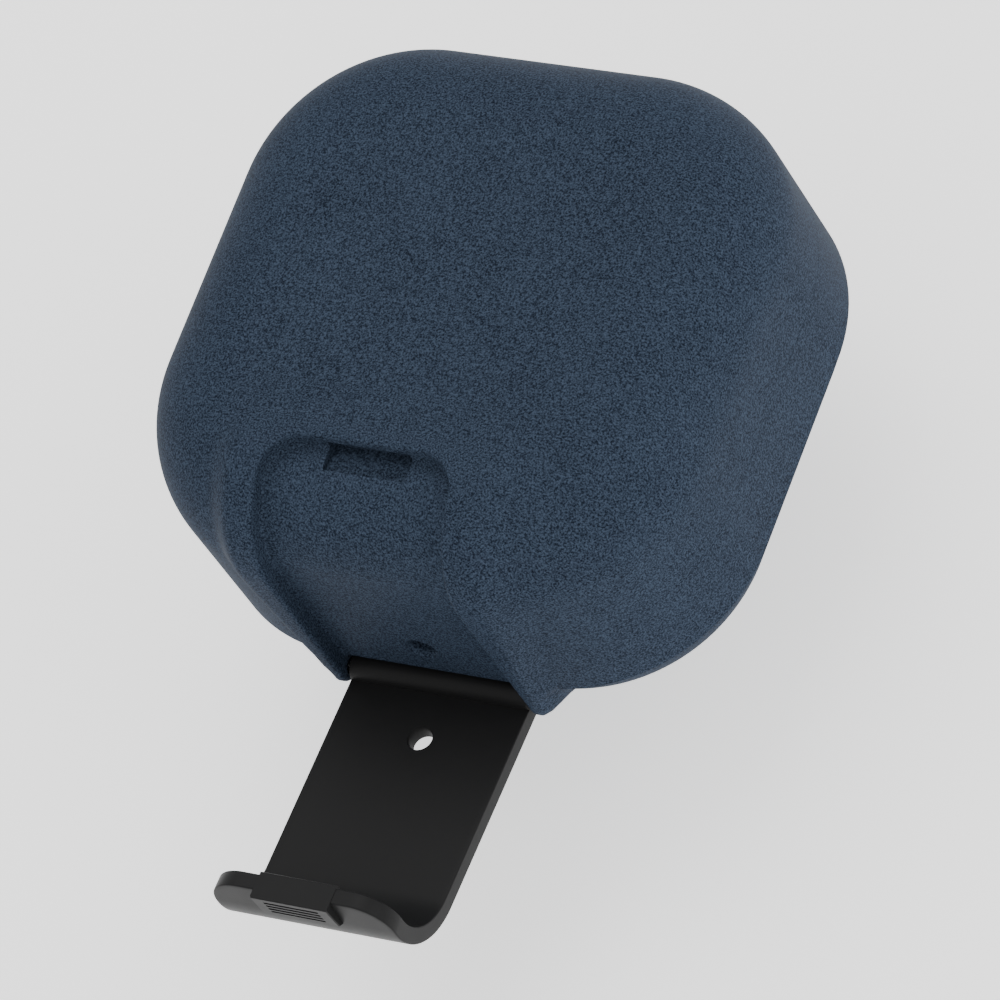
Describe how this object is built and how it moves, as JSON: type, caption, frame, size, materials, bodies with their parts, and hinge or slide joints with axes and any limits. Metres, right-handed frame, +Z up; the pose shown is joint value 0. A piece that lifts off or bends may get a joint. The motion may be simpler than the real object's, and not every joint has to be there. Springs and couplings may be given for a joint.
{
  "type": "wireless earbuds charging case",
  "caption": "rounded-square charging case holding two earbuds, in a two-part locking cover with a hinged lid and a front latch that swings up into a recess",
  "frame": {"origin": "centre of the cover's flat underside, where it stands on a table or a charging pad", "axes": "+Z up through the lid, -Y towards the latch at the front, +Y towards the lid's hinge at the back, +X to the right seen from the front"},
  "size_m": [0.057, 0.0853, 0.0353],
  "materials": {
    "navy_shell": "navy, moulded with a fine sandblasted grain, soft to the touch",
    "black_latch": "black, satin smooth",
    "steel": "plain bright steel",
    "case_plastic": "off-white, semi-gloss",
    "liner_plastic": "light grey, fine matte texture",
    "gold": "gold plated contact",
    "adhesive": "clear double-sided foam strip",
    "copper": "wound copper wire",
    "ferrite": "dark grey magnetic sheet",
    "board": "green solder mask",
    "battery_foil": "silver laminate pouch",
    "light_guide": "clear, slightly milky",
    "bud_gloss": "light grey gloss",
    "touch_cap": "dark grey, polished",
    "silicone": "soft light grey silicone"
  },
  "bodies": {
    "base": {"base_shell": "navy_shell", "latch_pin": "steel", "case_hinge_pin": "steel", "usb_port": "steel", "base_magnet_left": "steel", "base_magnet_right": "steel", "tray_screw_left_front": "steel", "tray_screw_left_back": "steel", "tray_screw_right_front": "steel", "tray_screw_right_back": "steel", "case_base": "case_plastic", "cradle_tray": "liner_plastic", "charging_coil": "copper", "ferrite_sheet": "ferrite", "main_board": "board", "battery": "battery_foil", "light_guide": "light_guide", "bud_body_left": "bud_gloss", "bud_body_right": "bud_gloss", "touch_cap_left": "touch_cap", "touch_cap_right": "touch_cap", "ear_tip_left": "silicone", "ear_tip_right": "silicone"},
    "lid": {"lid_shell": "navy_shell", "lid_adhesive_left": "adhesive", "lid_adhesive_right": "adhesive", "case_lid": "case_plastic", "lid_liner": "liner_plastic", "lid_magnet_left": "steel", "lid_magnet_right": "steel"},
    "latch": {"latch": "black_latch"},
    "charge_pin_left_outer_body": {"charge_pin_left_outer": "gold"},
    "charge_pin_left_inner_body": {"charge_pin_left_inner": "gold"},
    "charge_pin_right_outer_body": {"charge_pin_right_outer": "gold"},
    "charge_pin_right_inner_body": {"charge_pin_right_inner": "gold"}
  },
  "joints": [
    {"name": "lid_hinge", "type": "hinge", "parent": "base", "child": "lid", "pos_m": [0, 0.0248, 0.0174], "axis": [-1, 0, 0], "range_deg": [0, 100]},
    {"name": "latch_hinge", "type": "hinge", "parent": "base", "child": "latch", "pos_m": [0, -0.02775, 0.0062], "axis": [-1, 0, 0], "range_deg": [0, 85.5]},
    {"name": "charge_pin_left_outer_travel", "type": "slide", "parent": "base", "child": "charge_pin_left_outer_body", "axis": [0, 0, -1], "range_m": [0, 0.0004], "stiffness_N_per_m": 120},
    {"name": "charge_pin_left_inner_travel", "type": "slide", "parent": "base", "child": "charge_pin_left_inner_body", "axis": [0, 0, -1], "range_m": [0, 0.0004], "stiffness_N_per_m": 120},
    {"name": "charge_pin_right_outer_travel", "type": "slide", "parent": "base", "child": "charge_pin_right_outer_body", "axis": [0, 0, -1], "range_m": [0, 0.0004], "stiffness_N_per_m": 120},
    {"name": "charge_pin_right_inner_travel", "type": "slide", "parent": "base", "child": "charge_pin_right_inner_body", "axis": [0, 0, -1], "range_m": [0, 0.0004], "stiffness_N_per_m": 120}
  ]
}
